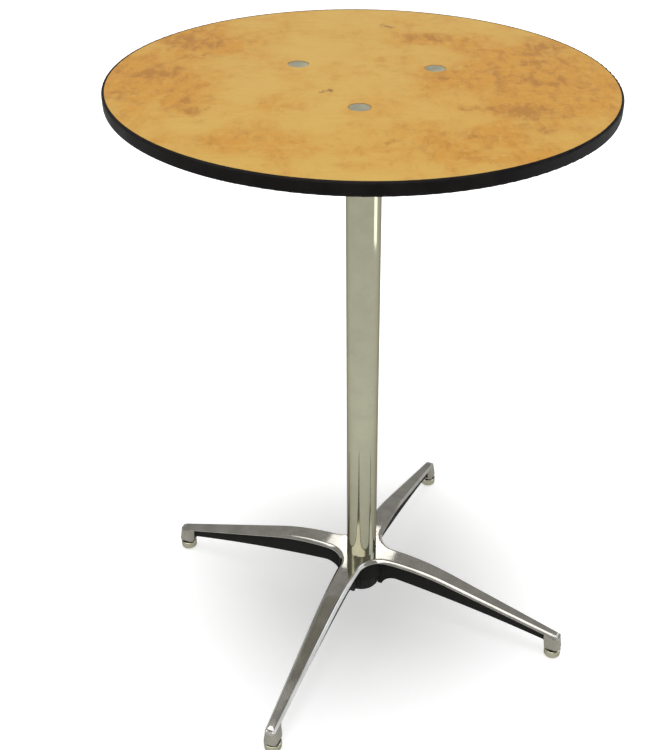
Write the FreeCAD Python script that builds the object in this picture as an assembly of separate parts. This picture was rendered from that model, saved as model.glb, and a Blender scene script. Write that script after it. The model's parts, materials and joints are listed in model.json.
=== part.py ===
import FreeCAD, Part
import math
import os

# Round bar-height pub table: a plywood top with a vinyl edge, a chromed steel column
# and a four-armed cast base, drawn together by one tie rod and a hand knob.
#
# Frame: origin on the floor under the column's axis, +Z up, one arm along +X and the
# others along +Y, -X and -Y. All sizes are in millimetres.

# ---------------------------------------------------------------- driving dimensions

# tabletop
TABLE_HEIGHT = 1067.0        # floor to the board's upper face
TOP_DIAMETER = 762.0         # over the edge band
BOARD_THICKNESS = 19.0
BAND_FACE = 4.0              # radial thickness of the edge band's outer face
BAND_PROUD = 0.5             # the band stands this far above and below the board
BAND_CORNER = 3.0            # rounding of the band's outer corners
TONGUE_DEPTH = 9.0           # the band's tongue, pushed into a kerf in the board
TONGUE_THICKNESS = 2.2
BARB_COUNT = 3
BARB_HEIGHT = 0.4
BARB_LENGTH = 1.8

# bolts through the board
BOLT_CIRCLE = 242.0
BOLT_COUNT = 3
BOLT_ANGLE = 49.4            # direction of the first bolt from the +X arm, degrees
BOLT_DIAMETER = 8.0
BOLT_HEAD_DIAMETER = 31.0
BOLT_HEAD_RIM = 1.6
BOLT_HEAD_CONE = 2.4
BOLT_NECK_SIDE = 8.6
BOLT_NECK_LENGTH = 5.0
BOLT_HEAD_SUNK = 0.4         # the head's face lies this far below the board's face
BOLT_TAIL = 3.0              # thread showing below the nut
RECESS_DIAMETER = 33.0
NUT_ACROSS_FLATS = 13.0
NUT_HEIGHT = 8.0
NUT_COLLAR = 2.6             # round collar that holds the nut's locking ring
NUT_COLLAR_DIAMETER = 11.4
BOLT_WASHER_DIAMETER = 24.0
BOLT_WASHER_THICKNESS = 2.0

# spider plate under the board
PLATE_THICKNESS = 6.0
PLATE_FLANGE = 15.0          # the plate's round middle reaches this far beyond the boss
PLATE_PAD_DIAMETER = 36.0
BOSS_WALL = 8.3              # around the column's upper socket
BOSS_DEPTH = 46.0            # from the board's underside to the boss's lower face
PLATE_RIB_THICKNESS = 6.0
SOCKET_DEPTH = 22.0          # length of column inside the boss

# column
COLUMN_DIAMETER = 57.15
COLUMN_WALL = 1.65
COLUMN_IN_HUB = 28.0         # length of column inside the base's socket

# tie rod, washer and knob
ROD_DIAMETER = 12.0
ROD_THREAD_IN_PLATE = 20.0
ROD_THREAD_IN_KNOB = 20.0
CLAMP_WASHER_DIAMETER = 46.0
CLAMP_WASHER_THICKNESS = 3.0
KNOB_DIAMETER = 70.0
KNOB_HEIGHT = 30.0
KNOB_GRIP_HEIGHT = 28.0
KNOB_NECK_DIAMETER = 32.0
KNOB_FLUTES = 12
KNOB_FLUTE_RADIUS = 5.0
KNOB_FLUTE_OUT = 3.2         # the flutes are centred this far outside the grip
KNOB_DOME = 5.0
INSERT_DIAMETER = 19.0
INSERT_LENGTH = 25.0
INSERT_FLANGE_DIAMETER = 23.0
INSERT_FLANGE_THICKNESS = 2.0

# base casting
ARM_COUNT = 4
FOOT_CIRCLE = 800.0          # diameter of the circle through the four glides
HUB_TOP = 135.0              # height of the base's flat top face at the hub
HUB_DEPTH = 51.0             # from there down to the washer's seat
HUB_WALL = 15.3              # around the column's lower socket
ARM_FILLET = 40.0            # plan radius of the corner between two arms
ARM_HALF_WIDTH = 20.6        # at ARM_WIDE_AT
ARM_WIDE_AT = 100.0
TOE_HALF_WIDTH = 10.1        # at the toe's outer face
KNEE_START = 66.0            # distance from the axis where the arm begins to fall
KNEE_RADIUS = 424.0
TOE_TOP = 56.2               # the arm's straight top line passes here, over the glide
ARM_THICKNESS = 7.0          # of the arm's plate, above the rib
RIB_THICKNESS = 8.0          # the upright rib under the middle of each arm
RIB_TIP = 8.3                # radial length of the rib's lowest face, beside the knob
RIB_TIP_DEPTH = 79.0         # from the hub's top face down to that face
RIB_ROOT_RADIUS = 32.0       # hollow curve from the tip up to the rib's long lower edge
RIB_ROOT_DEPTH = 56.2        # from the hub's top face down to the curve's upper end
RIB_TOE_DEPTH = 26.2         # from the arm's top line down to the rib, at the toe's heel
RIB_ARCH = 4.2               # rise of the rib's long lower edge above its chord
TOE_DEPTH = 31.0             # radial length of the toe's foot
TOE_PAD_DIAMETER = 27.0      # round flare at the toe's foot, over the glide
TOE_PAD_HEIGHT = 16.0        # from the foot up to where the flare runs out
TOE_PAD_TOP_DIAMETER = 21.0
TOE_LEAN = 10.0              # the toe leans outward going down, degrees
TOE_CORNER = 11.0            # rounding of the toe's upper outer corner
TOE_PLAN_CORNER = 8.0
TOE_HEEL_RADIUS = 5.0        # hollow corner between the toe's heel and the rib

# glides
GLIDE_DIAMETER = 32.0
GLIDE_CAP_HEIGHT = 16.3
GLIDE_CAP_SHOULDER = 2.0     # rounding of the cup's upper outer edge
GLIDE_CAP_FOOT = 3.5         # rounding of the cup's lower outer edge
GLIDE_CAP_SKIRT = 5.6        # wall of the cup around the pad
GLIDE_PAD_PROUD = 1.2        # the pad stands this far below the cap's rim
GLIDE_PAD_HEIGHT = 12.0
GLIDE_WASHER_THICKNESS = 4.0
GLIDE_WASHER_DIAMETER = 27.0
STEM_DIAMETER = 8.0
STEM_IN_TOE = 25.0
STEM_FLANGE_DIAMETER = 13.0
STEM_FLANGE_THICKNESS = 2.4

# clearances
BAND_FIT = 0.1               # radial, band to board
KERF_FIT = 0.1               # each side of the tongue's barbs
BOLT_FIT = 0.3               # radial, bolt in its hole
HEAD_FIT = 0.15              # bolt head and neck in the board
SOCKET_FIT = 0.1             # radial, column in either socket
ROD_HOLE_FIT = 0.75          # radial, rod in the base and in the washer
THREAD_FIT = 0.06            # radial, screw threads drawn as plain cylinders
INSERT_FIT = 0.05            # radial, insert in the knob
SEAT_GAP = 0.2               # axial, the stem's flange between the pad and the cap
PAD_FIT = 0.1                # radial, pad in the cap
STEM_HOLE_FIT = 0.4          # radial, stem in the cap and in its washer
BLIND_GAP = 2.0              # space left beyond the end of a screw in a blind hole
RIB_KNOB_GAP = 2.0           # radial, between the knob's grip and the tips of the ribs

# ------------------------------------------------------------------- derived places

BOARD_TOP = TABLE_HEIGHT
BOARD_BOTTOM = BOARD_TOP - BOARD_THICKNESS
BAND_INNER = TOP_DIAMETER / 2 - BAND_FACE
BOARD_RADIUS = BAND_INNER - BAND_FIT
BOARD_MIDDLE = (BOARD_TOP + BOARD_BOTTOM) / 2

BOLT_RADIUS = BOLT_DIAMETER / 2
BOLT_HOLE_RADIUS = BOLT_RADIUS + BOLT_FIT
BOLT_FACE = BOARD_TOP - BOLT_HEAD_SUNK
HEAD_UNDERSIDE = BOLT_FACE - BOLT_HEAD_RIM
PLATE_BOTTOM = BOARD_BOTTOM - PLATE_THICKNESS
BOLT_WASHER_BOTTOM = PLATE_BOTTOM - BOLT_WASHER_THICKNESS
NUT_BOTTOM = BOLT_WASHER_BOTTOM - NUT_HEIGHT

BOSS_BOTTOM = BOARD_BOTTOM - BOSS_DEPTH
COLUMN_TOP = BOSS_BOTTOM + SOCKET_DEPTH
COLUMN_RADIUS = COLUMN_DIAMETER / 2
SOCKET_RADIUS = COLUMN_RADIUS + SOCKET_FIT
BOSS_RADIUS = SOCKET_RADIUS + BOSS_WALL
PLATE_HUB_RADIUS = BOSS_RADIUS + PLATE_FLANGE
COLUMN_BOTTOM = HUB_TOP - COLUMN_IN_HUB
HUB_FLOOR = HUB_TOP - HUB_DEPTH
HUB_CORE_RADIUS = SOCKET_RADIUS + HUB_WALL

ROD_RADIUS = ROD_DIAMETER / 2
ROD_HOLE_RADIUS = ROD_RADIUS + ROD_HOLE_FIT
ROD_TOP = COLUMN_TOP + ROD_THREAD_IN_PLATE
WASHER_BOTTOM = HUB_FLOOR - CLAMP_WASHER_THICKNESS
ROD_BOTTOM = WASHER_BOTTOM - ROD_THREAD_IN_KNOB
KNOB_BOTTOM = WASHER_BOTTOM - KNOB_HEIGHT
KNOB_RADIUS = KNOB_DIAMETER / 2
FLUTE_AT = KNOB_RADIUS + KNOB_FLUTE_OUT

FOOT_RADIUS = FOOT_CIRCLE / 2
TOE_END = FOOT_RADIUS + TOE_DEPTH / 2
TOE_HEEL = FOOT_RADIUS - TOE_DEPTH / 2
TAPER = (ARM_HALF_WIDTH - TOE_HALF_WIDTH) / (TOE_END - ARM_WIDE_AT)
AXIS_HALF_WIDTH = ARM_HALF_WIDTH + TAPER * ARM_WIDE_AT
LIMB_HALF_WIDTH = AXIS_HALF_WIDTH + ARM_FILLET
TOE_BOTTOM = GLIDE_PAD_PROUD + GLIDE_CAP_HEIGHT + GLIDE_WASHER_THICKNESS
TOE_BORE_DEPTH = STEM_IN_TOE + BLIND_GAP
LEAN = math.radians(TOE_LEAN)

RIB_INNER = KNOB_RADIUS + RIB_KNOB_GAP
RIB_TIP_LOW = HUB_TOP - RIB_TIP_DEPTH
RIB_ROOT_LOW = HUB_TOP - RIB_ROOT_DEPTH

# The arm's top line leaves the knee's arc as a tangent and passes over the glide's
# centre at TOE_TOP. ARM_FALL is its slope, in radians.
KNEE_CENTRE = HUB_TOP - KNEE_RADIUS
TOE_REACH = math.hypot(FOOT_RADIUS - KNEE_START, TOE_TOP - KNEE_CENTRE)
TOE_BEARING = math.atan2(TOE_TOP - KNEE_CENTRE, FOOT_RADIUS - KNEE_START)
ARM_FALL = math.pi / 2 - TOE_BEARING - math.acos(KNEE_RADIUS / TOE_REACH)

CAP_BOTTOM = GLIDE_PAD_PROUD
CAP_TOP = CAP_BOTTOM + GLIDE_CAP_HEIGHT
STEM_RADIUS = STEM_DIAMETER / 2
STEM_BOTTOM = GLIDE_PAD_HEIGHT + SEAT_GAP
STEM_FLANGE_TOP = STEM_BOTTOM + STEM_FLANGE_THICKNESS
CAP_ROOF = STEM_FLANGE_TOP + SEAT_GAP
CAP_BORE = GLIDE_DIAMETER / 2 - GLIDE_CAP_SKIRT

UP = FreeCAD.Vector(0, 0, 1)
CENTRE = FreeCAD.Vector(0, 0, 0)

# -------------------------------------------------------------------- small helpers


def cylinder(radius, low, high, x=0.0, y=0.0):
    """Upright cylinder between two heights."""
    return Part.makeCylinder(radius, high - low, FreeCAD.Vector(x, y, low))


def ring(outer, inner, low, high):
    """Upright ring between two heights."""
    return cylinder(outer, low, high).cut(cylinder(inner, low, high))


def hexagon(across_flats, low, high):
    """Upright hexagonal prism, with two corners on the X axis."""
    reach = across_flats / math.sqrt(3)
    turns = [math.radians(60 * i) for i in range(7)]
    corners = [FreeCAD.Vector(reach * math.cos(a), reach * math.sin(a), low) for a in turns]
    face = Part.Face(Part.makePolygon(corners))
    return face.extrude(UP * (high - low))


def arc(start, middle, end):
    """Circular edge through three points."""
    return Part.Arc(start, middle, end).toShape()


def line(start, end):
    """Straight edge."""
    return Part.LineSegment(start, end).toShape()


def side_point(x, z):
    """Point of a profile drawn in the XZ plane."""
    return FreeCAD.Vector(x, 0, z)


def revolved(steps):
    """Solid of revolution about the Z axis.

    The outline closes on its first point. A step is the next (radius, z) point, or a
    pair of points, the middle and the end of an arc.
    """
    first = side_point(*steps[0])
    here = first
    edges = []
    for step in steps[1:] + [steps[0]]:
        if isinstance(step[0], tuple):
            middle, end = side_point(*step[0]), side_point(*step[1])
            edges.append(arc(here, middle, end))
        else:
            end = side_point(*step)
            edges.append(line(here, end))
        here = end
    face = Part.Face(Part.Wire(edges))
    return face.revolve(CENTRE, UP, 360)


def around(shape, count, first_angle=0.0):
    """Copies of a shape turned about the Z axis at even steps."""
    copies = []
    for i in range(count):
        copy = shape.copy()
        copy.rotate(CENTRE, UP, first_angle + 360.0 * i / count)
        copies.append(copy)
    return copies


def quarter_round(corner, start, end):
    """Outline steps of a quarter round that replaces a square corner."""
    centre = (start[0] + end[0] - corner[0], start[1] + end[1] - corner[1])
    share = math.sqrt(0.5)
    middle = tuple(c + (k - c) * share for c, k in zip(centre, corner))
    return [start, (middle, end)]


def export(shape, node):
    """Write one sub-part."""
    shape.exportStep("parts/%s.step" % node)


# ------------------------------------------------------------------------- tabletop


def make_board():
    """Plywood disc with the edge kerf and the three bolt recesses."""
    board = cylinder(BOARD_RADIUS, BOARD_BOTTOM, BOARD_TOP)
    half_kerf = TONGUE_THICKNESS / 2 + BARB_HEIGHT + KERF_FIT
    kerf_floor = BAND_INNER - TONGUE_DEPTH - BLIND_GAP
    kerf = ring(BAND_INNER, kerf_floor, BOARD_MIDDLE - half_kerf, BOARD_MIDDLE + half_kerf)
    board = board.cut(kerf)
    neck = BOLT_NECK_SIDE / 2 + HEAD_FIT
    seat_radius = BOLT_HEAD_DIAMETER / 2 + HEAD_FIT
    recess = cylinder(RECESS_DIAMETER / 2, HEAD_UNDERSIDE, BOARD_TOP)
    seat = Part.makeCone(neck, seat_radius, BOLT_HEAD_CONE, side_point(0, HEAD_UNDERSIDE - BOLT_HEAD_CONE))
    pocket_low = HEAD_UNDERSIDE - BOLT_HEAD_CONE - BOLT_NECK_LENGTH - HEAD_FIT
    corner = FreeCAD.Vector(-neck, -neck, pocket_low)
    pocket = Part.makeBox(2 * neck, 2 * neck, HEAD_UNDERSIDE - pocket_low, corner)
    hole = cylinder(BOLT_HOLE_RADIUS, BOARD_BOTTOM, BOARD_TOP)
    opening = recess.fuse([seat, pocket, hole])
    opening.translate(FreeCAD.Vector(BOLT_CIRCLE / 2, 0, 0))
    for cut in around(opening, BOLT_COUNT, BOLT_ANGLE):
        board = board.cut(cut)
    return board


def make_edge_band():
    """Vinyl T-section: a rounded outer face and a barbed tongue in the board's kerf."""
    high = BOARD_TOP + BAND_PROUD
    low = BOARD_BOTTOM - BAND_PROUD
    outer = TOP_DIAMETER / 2
    half = TONGUE_THICKNESS / 2
    step = (TONGUE_DEPTH - BARB_LENGTH) / BARB_COUNT
    edge = outer - BAND_CORNER
    outline = [(BAND_INNER, high)]
    outline += quarter_round((outer, high), (edge, high), (outer, high - BAND_CORNER))
    outline += quarter_round((outer, low), (outer, low + BAND_CORNER), (edge, low))
    outline += [(BAND_INNER, low), (BAND_INNER, BOARD_MIDDLE - half)]
    barbs = [BAND_INNER - BARB_LENGTH - i * step for i in range(BARB_COUNT)]
    for r in barbs:
        outline += [(r, BOARD_MIDDLE - half), (r, BOARD_MIDDLE - half - BARB_HEIGHT)]
        outline += [(r - BARB_LENGTH, BOARD_MIDDLE - half)]
    tip = BAND_INNER - TONGUE_DEPTH
    outline += [(tip, BOARD_MIDDLE - half / 2), (tip, BOARD_MIDDLE + half / 2)]
    for r in reversed(barbs):
        outline += [(r - BARB_LENGTH, BOARD_MIDDLE + half)]
        outline += [(r, BOARD_MIDDLE + half + BARB_HEIGHT), (r, BOARD_MIDDLE + half)]
    outline += [(BAND_INNER, BOARD_MIDDLE + half)]
    return revolved(outline)


def make_top_bolt():
    """Flat-headed bolt with a square neck, on the Z axis."""
    head_radius = BOLT_HEAD_DIAMETER / 2
    neck = BOLT_NECK_SIDE / 2
    cone_bottom = HEAD_UNDERSIDE - BOLT_HEAD_CONE
    head = cylinder(head_radius, HEAD_UNDERSIDE, BOLT_FACE)
    cone = Part.makeCone(neck, head_radius, BOLT_HEAD_CONE, side_point(0, cone_bottom))
    corner = FreeCAD.Vector(-neck, -neck, cone_bottom - BOLT_NECK_LENGTH)
    square = Part.makeBox(2 * neck, 2 * neck, BOLT_NECK_LENGTH + BOLT_HEAD_CONE / 2, corner)
    shank = cylinder(BOLT_RADIUS, NUT_BOTTOM - BOLT_TAIL, cone_bottom)
    return head.fuse([cone, square, shank]).removeSplitter()


def make_bolt_washer():
    """Flat washer under the spider plate, on the Z axis."""
    return ring(BOLT_WASHER_DIAMETER / 2, BOLT_HOLE_RADIUS, BOLT_WASHER_BOTTOM, PLATE_BOTTOM)


def make_lock_nut():
    """Hexagon nut with a round collar at its lower end, on the Z axis."""
    body = hexagon(NUT_ACROSS_FLATS, NUT_BOTTOM + NUT_COLLAR, BOLT_WASHER_BOTTOM)
    collar = cylinder(NUT_COLLAR_DIAMETER / 2, NUT_BOTTOM, NUT_BOTTOM + NUT_COLLAR)
    bore = cylinder(BOLT_RADIUS + THREAD_FIT, NUT_BOTTOM, BOLT_WASHER_BOTTOM)
    return body.fuse(collar).cut(bore)


def at_bolts(shape):
    """The same fastener at every bolt place, as one group of separate solids."""
    placed = shape.copy()
    placed.translate(FreeCAD.Vector(BOLT_CIRCLE / 2, 0, 0))
    return Part.makeCompound(around(placed, BOLT_COUNT, BOLT_ANGLE))


def make_spider_plate():
    """Three-armed plate with ribs and the boss that holds the column and the tie rod."""
    hub = cylinder(PLATE_HUB_RADIUS, PLATE_BOTTOM, BOARD_BOTTOM)
    boss = cylinder(BOSS_RADIUS, BOSS_BOTTOM, BOARD_BOTTOM)
    pad_radius = PLATE_PAD_DIAMETER / 2
    pad_at = BOLT_CIRCLE / 2
    corners = [(0, -BOSS_RADIUS), (0, BOSS_RADIUS), (pad_at, pad_radius), (pad_at, -pad_radius)]
    corners.append(corners[0])
    outline = Part.makePolygon([FreeCAD.Vector(x, y, PLATE_BOTTOM) for x, y in corners])
    arm = Part.Face(outline).extrude(UP * PLATE_THICKNESS)
    pad = cylinder(pad_radius, PLATE_BOTTOM, BOARD_BOTTOM, pad_at)
    rib_end = pad_at - BOLT_WASHER_DIAMETER / 2 - BLIND_GAP
    rib_low = BOSS_BOTTOM + SOCKET_DEPTH / 2
    rib_inner = SOCKET_RADIUS + BLIND_GAP
    profile = [(rib_inner, PLATE_BOTTOM), (rib_end, PLATE_BOTTOM)]
    profile += [(BOSS_RADIUS, rib_low), (rib_inner, rib_low), (rib_inner, PLATE_BOTTOM)]
    rib_outline = Part.makePolygon([side_point(x, z) for x, z in profile])
    rib = Part.Face(rib_outline).extrude(FreeCAD.Vector(0, PLATE_RIB_THICKNESS, 0))
    rib.translate(FreeCAD.Vector(0, -PLATE_RIB_THICKNESS / 2, 0))
    limbs = []
    for limb in (arm, pad, rib):
        limbs += around(limb, BOLT_COUNT, BOLT_ANGLE)
    plate = hub.fuse([boss] + limbs).removeSplitter()
    plate = plate.cut(cylinder(SOCKET_RADIUS, BOSS_BOTTOM, COLUMN_TOP))
    plate = plate.cut(cylinder(ROD_RADIUS + THREAD_FIT, COLUMN_TOP, ROD_TOP + BLIND_GAP))
    hole = cylinder(BOLT_HOLE_RADIUS, PLATE_BOTTOM, BOARD_BOTTOM, pad_at)
    for cut in around(hole, BOLT_COUNT, BOLT_ANGLE):
        plate = plate.cut(cut)
    return plate


# ------------------------------------------------------------------ column and clamp


def make_column():
    """Steel tube from the base's socket to the spider plate's socket."""
    return ring(COLUMN_RADIUS, COLUMN_RADIUS - COLUMN_WALL, COLUMN_BOTTOM, COLUMN_TOP)


def make_tie_rod():
    """Rod screwed into the spider plate, down through the column and the base."""
    return cylinder(ROD_RADIUS, ROD_BOTTOM, ROD_TOP)


def make_clamp_washer():
    """Washer between the hub and the knob."""
    return ring(CLAMP_WASHER_DIAMETER / 2, ROD_HOLE_RADIUS, WASHER_BOTTOM, HUB_FLOOR)


def make_knob():
    """Fluted hand knob with a domed lower face and a pocket for its threaded insert."""
    grip_top = KNOB_BOTTOM + KNOB_GRIP_HEIGHT
    dome_start = (KNOB_RADIUS - KNOB_DOME, KNOB_BOTTOM)
    dome_end = (KNOB_RADIUS, KNOB_BOTTOM + KNOB_DOME)
    outline = [(0, KNOB_BOTTOM)] + quarter_round((KNOB_RADIUS, KNOB_BOTTOM), dome_start, dome_end)
    outline += [(KNOB_RADIUS, grip_top), (0, grip_top)]
    grip = revolved(outline)
    flute = cylinder(KNOB_FLUTE_RADIUS, KNOB_BOTTOM, grip_top, FLUTE_AT)
    for cut in around(flute, KNOB_FLUTES, 180.0 / KNOB_FLUTES):
        grip = grip.cut(cut)
    neck = cylinder(KNOB_NECK_DIAMETER / 2, grip_top, WASHER_BOTTOM)
    knob = grip.fuse(neck)
    pocket = cylinder(INSERT_DIAMETER / 2 + INSERT_FIT, WASHER_BOTTOM - INSERT_LENGTH, WASHER_BOTTOM)
    rebate_low = WASHER_BOTTOM - INSERT_FLANGE_THICKNESS
    rebate = cylinder(INSERT_FLANGE_DIAMETER / 2 + INSERT_FIT, rebate_low, WASHER_BOTTOM)
    return knob.cut(pocket).cut(rebate)


def make_knob_insert():
    """Flanged metal insert with the knob's thread."""
    body = cylinder(INSERT_DIAMETER / 2, WASHER_BOTTOM - INSERT_LENGTH, WASHER_BOTTOM)
    flange_low = WASHER_BOTTOM - INSERT_FLANGE_THICKNESS
    flange = cylinder(INSERT_FLANGE_DIAMETER / 2, flange_low, WASHER_BOTTOM)
    bore = cylinder(ROD_RADIUS + THREAD_FIT, ROD_BOTTOM - BLIND_GAP, WASHER_BOTTOM)
    return body.fuse(flange).cut(bore)


# --------------------------------------------------------------------- base casting


def arm_side():
    """Normal of an arm's side line, and the line's distance from the axis, for y > 0."""
    length = math.hypot(TAPER, 1)
    normal = FreeCAD.Vector(TAPER / length, 1 / length, 0)
    return normal, AXIS_HALF_WIDTH / length


def plan_quadrant():
    """Plan edges from the middle of the +X toe to the middle of the +Y toe."""
    normal, distance = arm_side()
    mirrored = FreeCAD.Vector(normal.y, normal.x, 0)
    corner_x = TOE_END - TOE_PLAN_CORNER
    corner_y = (distance - TOE_PLAN_CORNER - normal.x * corner_x) / normal.y
    corner_centre = FreeCAD.Vector(corner_x, corner_y, 0)
    bisector = math.atan2(normal.y, normal.x) / 2
    toe = FreeCAD.Vector(TOE_END, corner_y, 0)
    outward = FreeCAD.Vector(math.cos(bisector), math.sin(bisector), 0)
    toe_middle = corner_centre + outward * TOE_PLAN_CORNER
    toe_side = corner_centre + normal * TOE_PLAN_CORNER
    fillet_at = (distance + ARM_FILLET) / (normal.x + normal.y)
    fillet_centre = FreeCAD.Vector(fillet_at, fillet_at, 0)
    diagonal = FreeCAD.Vector(1, 1, 0).normalize()
    root = fillet_centre - normal * ARM_FILLET
    root_middle = fillet_centre - diagonal * ARM_FILLET
    root_mirrored = fillet_centre - mirrored * ARM_FILLET

    def mirror(point):
        return FreeCAD.Vector(point.y, point.x, 0)

    return [
        line(FreeCAD.Vector(TOE_END, 0, 0), toe),
        arc(toe, toe_middle, toe_side),
        line(toe_side, root),
        arc(root, root_middle, root_mirrored),
        line(root_mirrored, mirror(toe_side)),
        arc(mirror(toe_side), mirror(toe_middle), mirror(toe)),
        line(mirror(toe), FreeCAD.Vector(0, TOE_END, 0)),
    ]


def plan_prism():
    """The base's plan outline as a prism from the floor to the hub's top face."""
    edges = []
    for i in range(ARM_COUNT):
        for edge in plan_quadrant():
            turned = edge.copy()
            turned.rotate(CENTRE, UP, 90 * i)
            edges.append(turned)
    wire = Part.Wire(Part.__sortEdges__(edges))
    return Part.Face(wire).extrude(UP * HUB_TOP)


def knee(drop):
    """Start, middle and end of the knee's arc, for a curve drop below the arm's top."""
    radius = KNEE_RADIUS - drop
    points = []
    for turn in (0.0, ARM_FALL / 2, ARM_FALL):
        points.append(side_point(KNEE_START + radius * math.sin(turn), KNEE_CENTRE + radius * math.cos(turn)))
    return points


def arm_height(x, drop):
    """Height, at a distance from the axis, of a line drop below the arm's sloping top."""
    end = knee(drop)[2]
    return end.z - (x - end.x) * math.tan(ARM_FALL)


def side_prism(edges, half_thickness):
    """A closed profile in the XZ plane, given thickness along Y to both sides."""
    face = Part.Face(Part.Wire(Part.__sortEdges__(edges)))
    face.translate(FreeCAD.Vector(0, -half_thickness, 0))
    return face.extrude(FreeCAD.Vector(0, 2 * half_thickness, 0))


def top_edges(drop, start_x, end_x):
    """Edges of a line drop below the arm's top, with its first and last point."""
    start, middle, end = knee(drop)
    first = side_point(start_x, HUB_TOP - drop)
    last = side_point(end_x, arm_height(end_x, drop))
    return [line(first, start), arc(start, middle, end), line(end, last)], first, last


def toe_corner_centre():
    """Centre of the rounding between the arm's top line and the toe's outer face."""
    face_out = math.cos(LEAN) * TOE_END + math.sin(LEAN) * TOE_BOTTOM - TOE_CORNER
    top_out = math.sin(ARM_FALL) * TOE_END + math.cos(ARM_FALL) * arm_height(TOE_END, 0) - TOE_CORNER
    spread = math.cos(LEAN + ARM_FALL)
    x = (face_out * math.cos(ARM_FALL) - top_out * math.sin(LEAN)) / spread
    z = (top_out * math.cos(LEAN) - face_out * math.sin(ARM_FALL)) / spread
    return x, z


def heel_corner_centre():
    """Centre of the hollow corner between the toe's heel and the rib's lower edge."""
    z = arm_height(TOE_HEEL, 0) - RIB_TOE_DEPTH - TOE_HEEL_RADIUS
    x = TOE_HEEL - (z - TOE_BOTTOM) * math.tan(LEAN) - TOE_HEEL_RADIUS / math.cos(LEAN)
    return x, z


def arc_about(centre, radius, turns):
    """Arc in the XZ plane from the first of two angles to the second, and its two ends."""
    low, high = turns
    points = []
    for turn in (low, (low + high) / 2, high):
        points.append(side_point(centre[0] + radius * math.cos(turn), centre[1] + radius * math.sin(turn)))
    return arc(*points), points[0], points[2]


def arm_plate():
    """Side prism of the arm's plate, from the axis to the toe."""
    end_x = toe_corner_centre()[0]
    upper, upper_first, upper_last = top_edges(0.0, 0.0, end_x)
    lower, lower_first, lower_last = top_edges(ARM_THICKNESS, 0.0, end_x)
    ends = [line(upper_first, lower_first), line(upper_last, lower_last)]
    return side_prism(upper + lower + ends, LIMB_HALF_WIDTH)


def arm_rib():
    """Rib from the middle of the plate's thickness down to its arched lower edge."""
    upper, first, last = top_edges(ARM_THICKNESS / 2, RIB_INNER, TOE_HEEL)
    tip_inner = side_point(RIB_INNER, RIB_TIP_LOW)
    tip_outer = side_point(RIB_INNER + RIB_TIP, RIB_TIP_LOW)
    root_centre_z = RIB_ROOT_LOW - RIB_ROOT_RADIUS
    tip_turn = math.pi - math.asin((RIB_TIP_LOW - root_centre_z) / RIB_ROOT_RADIUS)
    root_centre = (tip_outer.x - RIB_ROOT_RADIUS * math.cos(tip_turn), root_centre_z)
    root, _, root_end = arc_about(root_centre, RIB_ROOT_RADIUS, (tip_turn, math.pi / 2))
    heel_x, heel_z = heel_corner_centre()
    heel = side_point(heel_x, heel_z + TOE_HEEL_RADIUS)
    middle = (root_end + heel) * 0.5 + UP * RIB_ARCH
    low_last = side_point(TOE_HEEL, heel.z)
    edges = upper + [line(first, tip_inner), line(tip_inner, tip_outer), root]
    edges += [arc(root_end, middle, heel), line(heel, low_last), line(low_last, last)]
    return side_prism(edges, RIB_THICKNESS / 2)


def toe_post():
    """Side prism of the toe: rounded over at the top, leaning out, with a hollow heel."""
    outer, outer_low, outer_high = arc_about(toe_corner_centre(), TOE_CORNER, (LEAN, math.pi / 2 - ARM_FALL))
    heel, heel_low, heel_high = arc_about(heel_corner_centre(), TOE_HEEL_RADIUS, (LEAN, math.pi / 2))
    start = side_point(heel_high.x, arm_height(heel_high.x, 0))
    foot_out = side_point(TOE_END, TOE_BOTTOM)
    foot_in = side_point(TOE_HEEL, TOE_BOTTOM)
    edges = [line(start, outer_high), outer, line(outer_low, foot_out), line(foot_out, foot_in)]
    edges += [line(foot_in, heel_low), heel, line(heel_high, start)]
    return side_prism(edges, LIMB_HALF_WIDTH)


def make_base_casting():
    """Four-armed casting: flat plates over upright ribs, toes bored for the glides."""
    plan = plan_prism()
    plates = around(arm_plate(), ARM_COUNT)
    posts = around(toe_post(), ARM_COUNT)
    outlined = plan.common(plates[0].fuse(plates[1:] + posts))
    core = cylinder(HUB_CORE_RADIUS, HUB_FLOOR, HUB_TOP)
    pad_place = FreeCAD.Vector(FOOT_RADIUS, 0, TOE_BOTTOM)
    pad = Part.makeCone(TOE_PAD_DIAMETER / 2, TOE_PAD_TOP_DIAMETER / 2, TOE_PAD_HEIGHT, pad_place)
    limbs = around(arm_rib(), ARM_COUNT) + around(pad, ARM_COUNT)
    casting = outlined.fuse(limbs + [core])
    casting = casting.cut(cylinder(SOCKET_RADIUS, COLUMN_BOTTOM, HUB_TOP))
    casting = casting.cut(cylinder(ROD_HOLE_RADIUS, HUB_FLOOR, COLUMN_BOTTOM))
    bore_top = TOE_BOTTOM + TOE_BORE_DEPTH
    bore = cylinder(STEM_RADIUS + THREAD_FIT, TOE_BOTTOM, bore_top, FOOT_RADIUS)
    for cut in around(bore, ARM_COUNT):
        casting = casting.cut(cut)
    return casting.removeSplitter()


# --------------------------------------------------------------------------- glides


def make_glide_cap():
    """Chromed cup, rounded above and below, with a hole for the stem, on the Z axis."""
    outer = GLIDE_DIAMETER / 2
    hole = STEM_RADIUS + STEM_HOLE_FIT
    shoulder_start = (outer - GLIDE_CAP_SHOULDER, CAP_TOP)
    shoulder_end = (outer, CAP_TOP - GLIDE_CAP_SHOULDER)
    foot_start = (outer, CAP_BOTTOM + GLIDE_CAP_FOOT)
    foot_end = (outer - GLIDE_CAP_FOOT, CAP_BOTTOM)
    outline = [(hole, CAP_TOP)] + quarter_round((outer, CAP_TOP), shoulder_start, shoulder_end)
    outline += quarter_round((outer, CAP_BOTTOM), foot_start, foot_end)
    outline += [(CAP_BORE, CAP_BOTTOM), (CAP_BORE, CAP_ROOF), (hole, CAP_ROOF)]
    return revolved(outline)


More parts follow.
